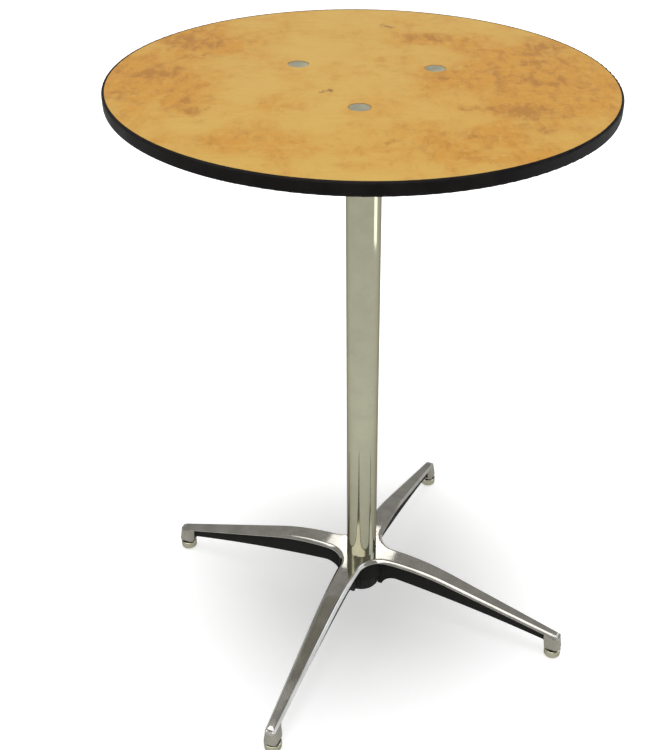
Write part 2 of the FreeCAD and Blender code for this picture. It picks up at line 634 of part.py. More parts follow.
def make_glide_pad():
    """Plastic disc in the cup, standing on the floor, on the Z axis."""
    rim = CAP_BORE - PAD_FIT
    outline = [(0, 0), (rim - GLIDE_PAD_PROUD, 0), (rim, GLIDE_PAD_PROUD)]
    outline += [(rim, GLIDE_PAD_HEIGHT), (0, GLIDE_PAD_HEIGHT)]
    return revolved(outline)


def make_glide_washer():
    """Dark washer between the cup and the toe, on the Z axis."""
    return ring(GLIDE_WASHER_DIAMETER / 2, STEM_RADIUS + STEM_HOLE_FIT, CAP_TOP, TOE_BOTTOM)


def make_glide_stem():
    """Screw with a flange at its lower end, held inside the cup, on the Z axis."""
    flange = cylinder(STEM_FLANGE_DIAMETER / 2, STEM_BOTTOM, STEM_FLANGE_TOP)
    screw = cylinder(STEM_RADIUS, STEM_BOTTOM, TOE_BOTTOM + STEM_IN_TOE)
    return flange.fuse(screw)


def export_glides():
    """Every piece of the glide, once at each toe."""
    pieces = {
        "glide_cap": make_glide_cap(),
        "glide_pad": make_glide_pad(),
        "glide_washer": make_glide_washer(),
        "glide_stem": make_glide_stem(),
    }
    for name, piece in pieces.items():
        placed = piece.copy()
        placed.translate(FreeCAD.Vector(FOOT_RADIUS, 0, 0))
        for i, copy in enumerate(around(placed, ARM_COUNT)):
            export(copy, "%s_%d" % (name, i + 1))


# --------------------------------------------------------------------------- export

os.makedirs("parts", exist_ok=True)
export(make_board(), "plywood_top")
export(make_edge_band(), "edge_band")
export(at_bolts(make_top_bolt()), "top_bolts")
export(at_bolts(make_bolt_washer()), "bolt_washers")
export(at_bolts(make_lock_nut()), "lock_nuts")
export(make_spider_plate(), "spider_plate")
export(make_column(), "column_tube")
export(make_tie_rod(), "tie_rod")
export(make_base_casting(), "base_casting")
export(make_clamp_washer(), "clamp_washer")
export(make_knob(), "hand_knob")
export(make_knob_insert(), "knob_insert")
export_glides()
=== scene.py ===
import json
import math

import bpy
import bmesh
from mathutils import Matrix, Vector


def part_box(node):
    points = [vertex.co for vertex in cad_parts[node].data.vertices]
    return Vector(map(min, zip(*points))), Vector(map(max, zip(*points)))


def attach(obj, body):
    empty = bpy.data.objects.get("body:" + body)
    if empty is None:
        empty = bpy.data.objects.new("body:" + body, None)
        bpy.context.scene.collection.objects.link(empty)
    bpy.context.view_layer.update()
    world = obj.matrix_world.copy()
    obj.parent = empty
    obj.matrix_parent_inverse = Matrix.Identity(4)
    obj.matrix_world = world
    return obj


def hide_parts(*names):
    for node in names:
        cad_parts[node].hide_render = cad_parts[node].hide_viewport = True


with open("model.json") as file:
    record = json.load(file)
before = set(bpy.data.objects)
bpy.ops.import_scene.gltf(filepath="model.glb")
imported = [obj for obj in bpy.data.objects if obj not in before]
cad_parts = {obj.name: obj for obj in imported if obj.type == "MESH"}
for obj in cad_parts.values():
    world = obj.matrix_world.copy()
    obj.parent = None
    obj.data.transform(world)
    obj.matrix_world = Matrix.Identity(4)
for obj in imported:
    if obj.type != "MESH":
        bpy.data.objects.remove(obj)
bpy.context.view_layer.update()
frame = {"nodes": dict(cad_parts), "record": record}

# Lengths are in metres, in the CAD's frame: origin on the floor under the column,
# +Z up, one arm of the base along +X and the others along +Y, -X and -Y.

MM = 0.001
ARM_COUNT = 4
TURN = 2 * math.pi
WELD = 0.02 * MM                     # points closer than this are one

# ------------------------------------------------------------------ view of the photo

PHOTO_WIDTH = 660
PHOTO_HEIGHT = 750
FOCAL_PIXELS = 1080.2                # fitted to the tabletop, column, bolts and glides
CENTRE_PIXEL = (390.6, 400.4)        # where the fitted camera looks straight ahead
CAMERA_BACK = 1.5886                 # from the column's axis
CAMERA_HEIGHT = 1.5880
CAMERA_PITCH = 0.6057                # radians, as are the next two
CAMERA_YAW = 0.0317
CAMERA_ROLL = 0.0247
ARMS_TURNED = math.radians(22.5)     # from the camera's sight line to the nearest arms
SENSOR = 36.0                        # millimetres, along the picture's longer side


def place_camera():
    """Scene camera at the photograph's place."""
    data = bpy.data.cameras.new("camera")
    data.sensor_width = SENSOR
    data.lens = FOCAL_PIXELS * SENSOR / PHOTO_HEIGHT
    data.shift_x = (PHOTO_WIDTH / 2 - CENTRE_PIXEL[0]) / PHOTO_HEIGHT
    data.shift_y = (CENTRE_PIXEL[1] - PHOTO_HEIGHT / 2) / PHOTO_HEIGHT
    camera = bpy.data.objects.new("camera", data)
    bpy.context.scene.collection.objects.link(camera)
    place = Matrix.Translation((0, -CAMERA_BACK, CAMERA_HEIGHT))
    pan = Matrix.Rotation(-CAMERA_YAW, 4, "Z")
    tilt = Matrix.Rotation(math.pi / 2 - CAMERA_PITCH, 4, "X")
    roll = Matrix.Rotation(CAMERA_ROLL, 4, "Z")
    camera.matrix_world = Matrix.Rotation(ARMS_TURNED, 4, "Z") @ place @ pan @ tilt @ roll
    bpy.context.scene.camera = camera


# --------------------------------------------------------------------- shader helpers


class Shader:
    """Builds one material or world from short calls."""

    def __init__(self, block):
        block.use_nodes = True
        self.tree = block.node_tree
        self.tree.nodes.clear()

    def add(self, kind, inputs=None, **settings):
        """New node; inputs maps a socket's name or number to a value or an output."""
        node = self.tree.nodes.new(kind)
        for name, value in settings.items():
            setattr(node, name, value)
        for key, value in (inputs or {}).items():
            if isinstance(value, bpy.types.NodeSocket):
                self.tree.links.new(value, node.inputs[key])
            else:
                node.inputs[key].default_value = value
        return node

    def math(self, operation, first, second=0.0):
        """Arithmetic on one or two numbers."""
        node = self.add("ShaderNodeMath", {0: first, 1: second}, operation=operation)
        return node.outputs[0]

    def vector(self, operation, *values, output="Vector"):
        """Arithmetic on vectors."""
        node = self.add("ShaderNodeVectorMath", dict(enumerate(values)), operation=operation)
        return node.outputs[output]

    def mix(self, factor, first, second, blend="MIX"):
        """Colour mix."""
        inputs = {0: factor, 6: first, 7: second}
        node = self.add("ShaderNodeMix", inputs, data_type="RGBA", blend_type=blend)
        return node.outputs[2]

    def place(self, scale=(1, 1, 1), turn=0.0, shift=(0, 0, 0)):
        """Position on the object, turned about Z, shifted and scaled per axis."""
        source = self.add("ShaderNodeTexCoord").outputs["Object"]
        inputs = {"Vector": source, "Rotation": (0, 0, turn), "Location": shift}
        moved = self.add("ShaderNodeMapping", inputs).outputs[0]
        return self.add("ShaderNodeMapping", {"Vector": moved, "Scale": scale}).outputs[0]

    def noise(self, vector, scale, detail=3.0, rough=0.5, warp=0.0, output="Fac"):
        """Noise with so many features to the metre."""
        inputs = {"Vector": vector, "Scale": scale, "Detail": detail}
        inputs.update({"Roughness": rough, "Distortion": warp})
        return self.add("ShaderNodeTexNoise", inputs).outputs[output]

    def ramp(self, value, low, high, to_low=0.0, to_high=1.0):
        """Smooth step of a value between two levels."""
        inputs = {"Value": value, "From Min": low, "From Max": high}
        inputs.update({"To Min": to_low, "To Max": to_high})
        node = self.add("ShaderNodeMapRange", inputs, interpolation_type="SMOOTHSTEP")
        return node.outputs[0]

    def bump(self, height, strength, distance):
        """Normal from a height, with the distance in metres."""
        inputs = {"Height": height, "Strength": strength, "Distance": distance}
        return self.add("ShaderNodeBump", inputs).outputs[0]

    def marks(self, vector, marks, core):
        """Strongest of several soft elliptical marks, full inside core times their size."""
        strongest = 0.0
        turn = Matrix.Rotation(-ARMS_TURNED, 2)
        for x, y, along, across, strength in marks:
            middle = turn @ Vector((x, y)) * MM
            scale = (1 / (along * MM), 1 / (across * MM), 0)
            shift = (-middle.x * scale[0], -middle.y * scale[1], 0)
            inputs = {"Vector": vector, "Scale": scale, "Location": shift}
            sized = self.add("ShaderNodeMapping", inputs).outputs[0]
            away = self.vector("LENGTH", sized, output="Value")
            mark = self.ramp(away, core, MARK_RIM, strength, 0.0)
            strongest = self.math("MAXIMUM", mark, strongest)
        return strongest

    def surface(self, **inputs):
        """Principled shader to the material's output."""
        named = {key.replace("_", " "): value for key, value in inputs.items()}
        shader = self.add("ShaderNodeBsdfPrincipled", named)
        self.add("ShaderNodeOutputMaterial", {"Surface": shader.outputs[0]})
        return shader


def rgb(red, green, blue):
    """Colour for a socket."""
    return (red, green, blue, 1.0)


def new_material(name):
    """New material and the shader that builds it."""
    material = bpy.data.materials.new(name)
    return material, Shader(material)


# -------------------------------------------------------------------------- materials

# Noises: features per metre, detail, roughness and warp.
SMUDGES = (28.0, 4.0, 0.6)
SCRATCHES = (420.0, 2.0)
PAINT_CLOUDS = (35.0, 3.0)
PAINT_SKIN = (900.0, 2.0)

SMUDGED = 1.6                        # roughness of a metal's smudges, in times its own
WORN_TINT = 1.7                      # a paint's lightest patches, in times its own colour
WORN_ROUGH = 1.25                    # and their roughness
SCRATCH_DEPTH = 0.05 * MM
PAINT_DEPTH = 0.2 * MM
GRAIN_DEPTH = 0.1 * MM


def make_metal(name, colour, roughness, smudge, scratches, edge=(1, 1, 1)):
    """Plated or polished metal with faint smudges, fine scratches and its tint at the edges."""
    material, s = new_material(name)
    cloud = s.noise(s.place(), *SMUDGES)
    fine = s.noise(s.place(), *SCRATCHES)
    shade = s.ramp(cloud, 0.3, 0.7, 1.0 - smudge, 1.0)
    grey = s.add("ShaderNodeCombineColor", {0: shade, 1: shade, 2: shade}).outputs[0]
    tint = s.mix(1.0, rgb(*colour), grey, "MULTIPLY")
    rough = s.ramp(cloud, 0.25, 0.75, roughness, roughness * SMUDGED)
    normal = s.bump(fine, scratches, SCRATCH_DEPTH)
    shader = s.surface(Base_Color=tint, Metallic=1.0, Roughness=rough, Normal=normal)
    shader.inputs["Specular Tint"].default_value = rgb(*edge)
    return material


def make_paint(name, colour, roughness, grain, gloss=0.18):
    """Matt paint or moulded plastic with a fine uneven skin."""
    material, s = new_material(name)
    skin = s.noise(s.place(), *PAINT_SKIN)
    cloud = s.noise(s.place(), *PAINT_CLOUDS)
    worn = [channel * WORN_TINT for channel in colour]
    tint = s.mix(s.ramp(cloud, 0.35, 0.7), rgb(*colour), rgb(*worn))
    rough = s.ramp(cloud, 0.3, 0.7, roughness, min(1.0, roughness * WORN_ROUGH))
    shader = s.surface(Base_Color=tint, Roughness=rough, Normal=s.bump(skin, grain, PAINT_DEPTH))
    shader.inputs["Specular IOR Level"].default_value = gloss
    return material


BIRCH = rgb(0.650, 0.407, 0.088)
BIRCH_ORANGE = rgb(0.610, 0.287, 0.030)
BIRCH_PALE = rgb(0.665, 0.440, 0.105)
BIRCH_BROWN = rgb(0.430, 0.182, 0.020)
BIRCH_KNOT = rgb(0.27, 0.12, 0.035)
BIRCH_GRAIN = rgb(0.46, 0.23, 0.05)
BIRCH_SPECKLE = rgb(0.72, 0.52, 0.19)
RAW_LIGHT = rgb(0.62, 0.59, 0.52)    # the underside
RAW_DARK = rgb(0.50, 0.47, 0.40)
FACE_FROM, FACE_TO = 0.8, 0.9        # shares of the board's thickness where its face starts

# Noises on the board, as above, with their stretch; the grain runs along the first axis.
WANDER_NOISE = (30.0, 5.0, 0.65)
CLOUD_NOISE, CLOUD_STRETCH = (12.0, 8.0, 0.66, 0.3), (1, 0.9, 1)
MOTTLE_NOISE, MOTTLE_STRETCH = (48.0, 9.0, 0.72, 0.3), (1.2, 0.6, 1)
BLEACH_NOISE, BLEACH_STRETCH = (60.0, 6.0, 0.68, 0.3), (1, 0.8, 1)
BLEACH_SHIFT = (0.3, 0.2, 0.1)       # keeps it apart from the others
GRAIN_NOISE, GRAIN_STRETCH = (1.0, 3.0, 0.6), (14, 420, 14)
SPECKLE_NOISE = (700.0, 2.0, 0.6)

# What the noises do: two levels of the noise, and the strength at each.
CLOUDS_IN_PATCHES = (0.35, 0.56, 0.72, 1.25)
CLOUDS_ANYWHERE = (0.42, 0.64, 0.0, 0.5)
MOTTLE_IN_STAINS = (0.34, 0.64, 0.2, 1.45)
MOTTLE_IN_ORANGE = (0.44, 0.68, 0.0, 0.75)
BLEACHED = (0.50, 0.70, 0.0, 0.4)
GRAIN_LINES = (0.35, 0.75, 0.0, 0.22)
SPECKLES = (0.4, 0.8, 0.0, 0.14)
RAW_GRAIN = (0.3, 0.8)

PATCH_CORE, STAIN_CORE, KNOT_CORE = 0.15, 0.0, 0.2     # share of a mark at full strength
MARK_RIM = 1.25                      # a mark fades out at this many times its size
MARK_WANDER = (0.06, 0.07, 0.0)      # how far noise pulls the marks' outlines about

# Marks on the board: x and y of the middle, half-length along the grain and half-width
# across it, all in millimetres, and strength.
ORANGE_PATCHES = [
    (-285, -120, 120, 200, 1.0), (-290, 60, 110, 110, 0.9), (-60, -150, 60, 60, 0.35),
    (235, 110, 200, 260, 1.0), (60, 240, 130, 70, 0.8), (240, -170, 160, 130, 0.6),
    (-20, -300, 200, 60, 0.45), (110, -240, 90, 50, 0.4),
]
BROWN_STAINS = [
    (-305, -118, 62, 22, 0.9), (-274, -72, 20, 14, 0.6), (-322, 50, 60, 60, 0.6),
    (-262, -5, 34, 20, 0.6), (-186, -196, 12, 14, 0.7), (-160, -222, 18, 22, 0.9),
    (-133, -262, 16, 14, 0.5), (-234, -168, 22, 14, 0.5), (-295, -215, 30, 12, 0.6),
    (203, 268, 46, 60, 0.7), (212, 178, 34, 26, 0.7), (252, 100, 74, 22, 0.8),
    (277, 112, 24, 26, 0.8), (306, 97, 12, 8, 0.9), (262, -30, 58, 36, 1.0),
    (180, -54, 20, 14, 0.6), (213, -47, 14, 24, 0.7), (290, -88, 34, 26, 0.6),
    (100, 52, 26, 10, 0.5), (10, 236, 52, 26, 0.6), (132, -219, 12, 10, 0.6),
    (223, -151, 26, 10, 0.4),
]
KNOTS = [(-33, -79, 7, 9, 0.7), (-19, -73, 9, 9, 1.0), (-70, 271, 8, 12, 0.8)]


def make_plywood():
    """Clear-coated birch face, mottled by use, over a pale unfinished underside."""
    material, s = new_material("plywood")
    flat = s.place(turn=-ARMS_TURNED)
    wander = s.noise(flat, *WANDER_NOISE, output="Color")
    centred = s.vector("SUBTRACT", wander, (0.5, 0.5, 0.5))
    loose = s.vector("ADD", flat, s.vector("MULTIPLY", centred, MARK_WANDER))
    cloud = s.noise(s.place(CLOUD_STRETCH, -ARMS_TURNED), *CLOUD_NOISE)
    mottle = s.noise(s.place(MOTTLE_STRETCH, -ARMS_TURNED), *MOTTLE_NOISE)
    bleach = s.noise(s.place(BLEACH_STRETCH, -ARMS_TURNED, BLEACH_SHIFT), *BLEACH_NOISE)
    grain = s.noise(s.place(GRAIN_STRETCH, -ARMS_TURNED), *GRAIN_NOISE)
    speckle = s.noise(flat, *SPECKLE_NOISE)
    patches = s.marks(loose, ORANGE_PATCHES, PATCH_CORE)
    stains = s.marks(loose, BROWN_STAINS, STAIN_CORE)
    knots = s.marks(loose, KNOTS, KNOT_CORE)
    orange = s.math("MULTIPLY", patches, s.ramp(cloud, *CLOUDS_IN_PATCHES))
    orange = s.math("ADD", orange, s.ramp(cloud, *CLOUDS_ANYWHERE))
    brown = s.math("MULTIPLY", stains, s.ramp(mottle, *MOTTLE_IN_STAINS))
    flecks = s.math("MULTIPLY", orange, s.ramp(mottle, *MOTTLE_IN_ORANGE))
    tint = s.mix(orange, BIRCH, BIRCH_ORANGE)
    tint = s.mix(s.ramp(bleach, *BLEACHED), tint, BIRCH_PALE)
    tint = s.mix(s.math("ADD", brown, flecks), tint, BIRCH_BROWN)
    tint = s.mix(knots, tint, BIRCH_KNOT)
    tint = s.mix(s.ramp(grain, *GRAIN_LINES), tint, BIRCH_GRAIN)
    tint = s.mix(s.ramp(speckle, *SPECKLES), tint, BIRCH_SPECKLE)
    height = s.add("ShaderNodeSeparateXYZ", {0: flat}).outputs["Z"]
    lower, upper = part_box("plywood_top")[0].z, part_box("plywood_top")[1].z
    thickness = upper - lower
    face = s.ramp(height, lower + FACE_FROM * thickness, lower + FACE_TO * thickness)
    raw = s.mix(s.ramp(grain, *RAW_GRAIN), RAW_LIGHT, RAW_DARK)
    tint = s.mix(face, raw, tint)
    normal = s.bump(grain, 0.05, GRAIN_DEPTH)
    shader = s.surface(Base_Color=tint, Roughness=0.45, Normal=normal)
    shader.inputs["Specular IOR Level"].default_value = 0.2
    shader.inputs["Coat Weight"].default_value = 0.12
    shader.inputs["Coat Roughness"].default_value = 0.2
    return material


# Colour, roughness, smudges, scratches and the tint at the edges.
METALS = {
    "nickel_steel": ((0.72, 0.72, 0.54), 0.30, 0.25, 0.3),
    "zinc_steel": ((0.55, 0.55, 0.52), 0.35, 0.2, 0.3),
    # chrome's dark olive colour and edge tint stand for the dim olive surroundings it reflects:
    # a painted reflection
    "chrome": ((0.44, 0.43, 0.315), 0.06, 0.08, 0.02, (0.45, 0.43, 0.38)),
    "cast_aluminium": ((0.44, 0.43, 0.395), 0.09, 0.2, 0.08, (0.7, 0.7, 0.7)),
    # a darker copy of cast_aluminium for the toes' posts: painted shade on the same casting
    "toe_aluminium_painted_shade": ((0.36, 0.345, 0.295), 0.14, 0.2, 0.08, (0.7, 0.7, 0.7)),
    "brass": ((0.70, 0.52, 0.24), 0.25, 0.1, 0.2),
}

# Colour, roughness, grain and gloss.
PAINTS = {
    "vinyl_edge": ((0.0070, 0.0060, 0.0057), 0.45, 0.15, 0.08),
    "black_paint": ((0.010, 0.010, 0.009), 0.7, 0.4),
    "black_plastic": ((0.012, 0.012, 0.012), 0.5, 0.2),
    "nylon": ((0.60, 0.58, 0.52), 0.55, 0.2),
}

MATERIALS = {"plywood": make_plywood()}
MATERIALS.update((name, make_metal(name, *look)) for name, look in METALS.items())
MATERIALS.update((name, make_paint(name, *look)) for name, look in PAINTS.items())


def finish_nodes():
    """Gives each CAD node that stays the material of its slot."""
    for part in frame["record"]["subparts"]:
        node = frame["nodes"][part["node"]]
        material = MATERIALS[part["material_slot"]]
        for slot in node.material_slots:
            slot.material = material
        if not node.material_slots:
            node.data.materials.append(material)


# ------------------------------------------------------------------------ mesh helpers

CREASE = 40                          # degrees; sharper edges stay crisp
ARMS_CREASE = 50


def fillet_path(corners, segments):
    """Points of a path whose inner corners are (x, y, radius), each drawn as an arc."""
    points = [Vector(corners[0][:2])]
    for before, corner, after in zip(corners, corners[1:], corners[2:]):
        at = Vector(corner[:2])
        back = (Vector(before[:2]) - at).normalized()
        ahead = (Vector(after[:2]) - at).normalized()
        half = back.angle(ahead) / 2
        centre = at + (back + ahead).normalized() * corner[2] / math.sin(half)
        start = at + back * corner[2] / math.tan(half)
        sweep = math.pi - 2 * half
        if (start - centre).cross(at - start) < 0:
            sweep = -sweep
        for i in range(segments + 1):
            turned = Matrix.Rotation(sweep * i / segments, 2) @ (start - centre)
            points.append(centre + turned)
    points.append(Vector(corners[-1][:2]))
    return points


def new_piece(name, mesh_data, slot, body, node, finish=None):
    """Object from bmesh data that rides on a body and stands for a CAD node.

    Its material is its slot's, unless a finish is named.
    """
    mesh = bpy.data.meshes.new(name)
    mesh_data.to_mesh(mesh)
    mesh_data.free()
    piece = bpy.data.objects.new(name, mesh)
    bpy.context.scene.collection.objects.link(piece)
    mesh.materials.append(MATERIALS[finish or slot])
    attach(piece, body)
    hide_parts(node)


def shade_by_angle(mesh_data, degrees=CREASE):
    """Smooth shading, with edges sharper than the angle left crisp."""
    limit = math.radians(degrees)
    for face in mesh_data.faces:
        face.smooth = True
    for edge in mesh_data.edges:
        if len(edge.link_faces) == 2:
            edge.smooth = edge.calc_face_angle(0.0) < limit


# --------------------------------------------------------------------- base: its sizes

HUB_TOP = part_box("base_casting")[1].z
COLUMN_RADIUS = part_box("column_tube")[1].x
SOCKET_RADIUS = COLUMN_RADIUS + 0.1 * MM
TOE_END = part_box("base_casting")[1].x
TOE_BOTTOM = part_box("base_casting")[0].z
GLIDE_AT = sum(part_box("glide_pad_1")[i].x for i in (0, 1)) / 2

# Arms and toes, in plan and from the side.
TOE_DEPTH = 31.0 * MM                # along the arm, at the foot
TOE_LEAN = math.radians(10.0)
TOE_TOP = 56.2 * MM                  # the arm's straight top line passes here, over the glide
KNEE_START = 66.0 * MM               # the hub's flat top bends down into the arms here
KNEE_RADIUS = 424.0 * MM
ARM_HALF_WIDTH = 20.6 * MM           # at ARM_WIDE_AT
ARM_WIDE_AT = 100.0 * MM
TOE_HALF_WIDTH = 10.1 * MM
ARM_FILLET = 41.0 * MM
PLATE = 7.0 * MM

# Edge of the plate.
BEVEL_WIDTH = 5.2 * MM
BEVEL_DEPTH = 6.0 * MM
BEVEL_TOP_FLAT = 2.5 * MM            # of the top face that counts as edge, inside the bevel
BEVEL_TOP_ROUND = 4.0 * MM
BEVEL_LOW_ROUND = 1.6 * MM
NOSE_PLAN_CORNER = 6.5 * MM
NOSE_HEIGHT = 11.0 * MM              # depth of the plate's edge at the toe's nose
NOSE_ROUND = 10.0 * MM
NOSE_ROUND_USED = 0.98               # share of NOSE_ROUND, so that its two arcs don't meet
NOSE_TOP_FLAT = 2.0 * MM
EDGE_UNDERCUT = 0.2 * MM             # the edge's foot lies this far in
EDGE_ROUND = 0.3 * MM
NOSE_LINE_START = 1.5 * MM           # inside the nose's rounding, on the arm's middle line
NOSE_LINE_LENGTH = 3.0 * MM          # that the nose's inner points share

# Toes, ribs and the boss under the hub.
SKIN = 0.3 * MM                      # painted skins lie this thick on the polished casting
SKIN_INSET = 0.9 * MM                # of the painted underside from the plate's outline
SKIN_TOE_GAP = 2.0 * MM              # between the painted underside and the toe's heel
POST_SET_BACK = 0.3 * MM             # of the post's front from the nose above it
POST_HALF_WIDTH = 13.3 * MM          # at the foot
POST_CORNER = 8.5 * MM               # outer corner at the foot
POST_CORNER_LOSS = 0.16              # what that corner loses per unit of height
POST_HEEL_CORNER = 6.0 * MM
POST_CAP_RISE = 5.0 * MM             # from the last level to the cap, along the lean
POST_UNDER_TOP = 7.5 * MM            # of the cap below the arm's top face
POST_CAP_LEAST = 1.0 * MM
POST_LEVELS = [                      # height above the foot, growth on each side; millimetres
    (0.0, -1.1), (0.25, -0.4), (1.0, 0.0), (4, -0.2),
    (9, -0.9), (15, -1.8), (20, -2.5), (22, -2.7),
]
POST_FOOT_ROUND = 1.0                # millimetres of height over which the foot is rounded
HEEL_HALF = 5.0 * MM
HEEL_LOW = 5.0 * MM
HEEL_HIGH = 28.0 * MM
HEEL_SKIN = 7 * SKIN
RIB_HALF = 4.0 * MM
RIB_ROUND = 1.4 * MM
RIB_INNER = 37.0 * MM                # the rib's tip beside the knob
RIB_TIP_OUTER = 45.3 * MM
RIB_TIP_LOW = HUB_TOP - 79.0 * MM
RIB_ROOT_RADIUS = 32.0 * MM
RIB_ROOT_LOW = HUB_TOP - 56.2 * MM
RIB_TOE_DEPTH = 26.2 * MM            # at the toe's heel
RIB_ARCH = 4.2 * MM
RIB_INTO_TOE = 1.5 * MM
HEEL_RADIUS = 5.0 * MM               # of the hollow between rib and toe
CORE_RADIUS = 44.0 * MM
CORE_ROUND = 2.0 * MM
ROD_CLEARANCE = 0.75 * MM

# Segments of the curved parts.
ARC_STEPS = 5                        # each rounding in the edge profiles
UPPER_POINTS = 2 * ARC_STEPS + 2     # of an edge profile, before its foot
NOSE_STEPS = 4
CORNER_STEPS = 14
ARM_STEPS = 72
FILLET_STEPS = 18
FLAT_STEPS = 6
UNDER_STEPS = 2
POST_STEPS = 8
HEEL_STEPS = 4
HOLLOW_STEPS = 8
RIB_TIP_STEPS = 3
RIB_ROOT_STEPS = 14
RIB_STEPS = 40
ROUND_STEPS = 4                      # each rounding of ribs and turned pieces

KNEE_CENTRE = HUB_TOP - KNEE_RADIUS
REACH = math.hypot(GLIDE_AT - KNEE_START, TOE_TOP - KNEE_CENTRE)
BEARING = math.atan2(TOE_TOP - KNEE_CENTRE, GLIDE_AT - KNEE_START)
ARM_FALL = math.pi / 2 - BEARING - math.acos(KNEE_RADIUS / REACH)
KNEE_END = KNEE_START + KNEE_RADIUS * math.sin(ARM_FALL)
TOE_HEEL = TOE_END - TOE_DEPTH
NOSE_END = TOE_END - (TOE_TOP - NOSE_HEIGHT - TOE_BOTTOM) * math.tan(TOE_LEAN) + POST_SET_BACK


def arm_top(x):
    """Height of an arm's top face at a distance from the column's axis."""
    if x <= KNEE_START:
        return HUB_TOP
    if x < KNEE_END:
        return KNEE_CENTRE + math.sqrt(KNEE_RADIUS ** 2 - (x - KNEE_START) ** 2)
    knee_end_z = KNEE_CENTRE + KNEE_RADIUS * math.cos(ARM_FALL)
    return knee_end_z - (x - KNEE_END) * math.tan(ARM_FALL)


def spread(low, high, count):
    """Evenly spaced numbers from low to high, both included."""
    return [low + (high - low) * i / count for i in range(count + 1)]


def half_outline():
    """Plan outline from an arm's nose to the corner's middle between two arms.

    Gives (point, inward normal, noseness): 1 at the nose's middle, 0 along the side.
    """
    taper = (ARM_HALF_WIDTH - TOE_HALF_WIDTH) / (TOE_END - ARM_WIDE_AT)
    length = math.hypot(taper, 1)
    out = Vector((taper / length, 1 / length))
    away = (ARM_HALF_WIDTH + taper * ARM_WIDE_AT) / length
    corner_x = NOSE_END - NOSE_PLAN_CORNER
    corner_at = Vector((corner_x, (away - NOSE_PLAN_CORNER - out.x * corner_x) / out.y))
    slope = math.atan2(out.y, out.x)
    rows = []
    for y in spread(0, corner_at.y, NOSE_STEPS)[:-1]:
        rows.append((Vector((NOSE_END, y)), Vector((-1, 0)), 1.0))
    for i, turn in enumerate(spread(0, slope, CORNER_STEPS)):
        normal = Vector((math.cos(turn), math.sin(turn)))
        noseness = 1 - (i / CORNER_STEPS) ** 3
        rows.append((corner_at + normal * NOSE_PLAN_CORNER, -normal, noseness))
    fillet_at = (away + ARM_FILLET) / (out.x + out.y)
    centre = Vector((fillet_at, fillet_at))
    root = centre - out * ARM_FILLET
    toe_side = rows[-1][0]
    for share in spread(0, 1, ARM_STEPS)[1:]:
        rows.append((toe_side.lerp(root, share), -out, 0.0))
    for turn in spread(slope, math.pi / 4, FILLET_STEPS)[1:]:
        normal = Vector((math.cos(turn), math.sin(turn)))
        rows.append((centre - normal * ARM_FILLET, -normal, 0.0))
    return rows


def inner_line(rows, nose_depth):
    """For each outline row, its end on the arm's middle line or the socket."""
    straight_from = next(i for i, row in enumerate(rows) if row[2] == 0.0)
    outer = NOSE_END - nose_depth - NOSE_LINE_START
    nose_line = spread(outer, outer - NOSE_LINE_LENGTH, straight_from)
    inner = [Vector((x, 0)) for x in nose_line]
    straight = inner[-1].x - SOCKET_RADIUS
    path = straight + SOCKET_RADIUS * math.pi / 4
    left = len(rows) - straight_from - 1
    for i in range(1, left + 1):
        along = path * i / left
        if along < straight:
            inner.append(Vector((inner[straight_from].x - along, 0)))
        else:
            turn = (along - straight) / SOCKET_RADIUS
            inner.append(SOCKET_RADIUS * Vector((math.cos(turn), math.sin(turn))))
    return inner


def side_profile():
    """Edge of the plate along an arm: (inward distance, drop) from the outline's top."""
    return fillet_path([
        (BEVEL_WIDTH + BEVEL_TOP_FLAT, 0),
        (BEVEL_WIDTH, 0, BEVEL_TOP_ROUND),
        (0, BEVEL_DEPTH, BEVEL_LOW_ROUND),
        (EDGE_UNDERCUT, PLATE, EDGE_ROUND),
        (BEVEL_WIDTH, PLATE),
    ], ARC_STEPS)


def nose_profile():
    """Edge of the plate round a toe's nose, rolled over into the toe."""
    corner = NOSE_ROUND * (2 - math.sqrt(2))
    radius = NOSE_ROUND * NOSE_ROUND_USED
    return fillet_path([
        (NOSE_ROUND + NOSE_TOP_FLAT, 0),
        (corner, 0, radius),
        (0, corner, radius),
        (EDGE_UNDERCUT, NOSE_HEIGHT, EDGE_ROUND),
        (BEVEL_WIDTH, NOSE_HEIGHT),
    ], ARC_STEPS)


def drop_at(profile, inward):
    """Drop of a profile's upper part at a distance in from the outline."""
    drop = 0.0
    for far, near in zip(profile, profile[1:]):
        if near.x >= far.x:
            break
        drop = near.y
        if inward >= near.x:
            share = min(1.0, (far.x - inward) / (far.x - near.x))
            return far.y + (near.y - far.y) * max(0.0, share)
    return drop


def bridge_columns(mesh_data, columns, wall_from=0):
    """Quads between columns of points, each closed on itself from number wall_from on."""
    verts = [[mesh_data.verts.new(p) for p in column] for column in columns]
    for i, (near, far) in enumerate(zip(verts, verts[1:])):
        for a, b, c, d in zip(near, near[1:], far[1:], far):
            mesh_data.faces.new((a, b, c, d))
        if i >= wall_from:
            mesh_data.faces.new((near[-1], near[0], far[0], far[-1]))
    return verts


def join_rings(mesh_data, rings):
    """Quads between neighbouring rings of vertices."""
    for low, high in zip(rings, rings[1:]):
        for a, b, c, d in zip(low, low[1:] + low[:1], high[1:] + high[:1], high):
            mesh_data.faces.new((a, b, c, d))


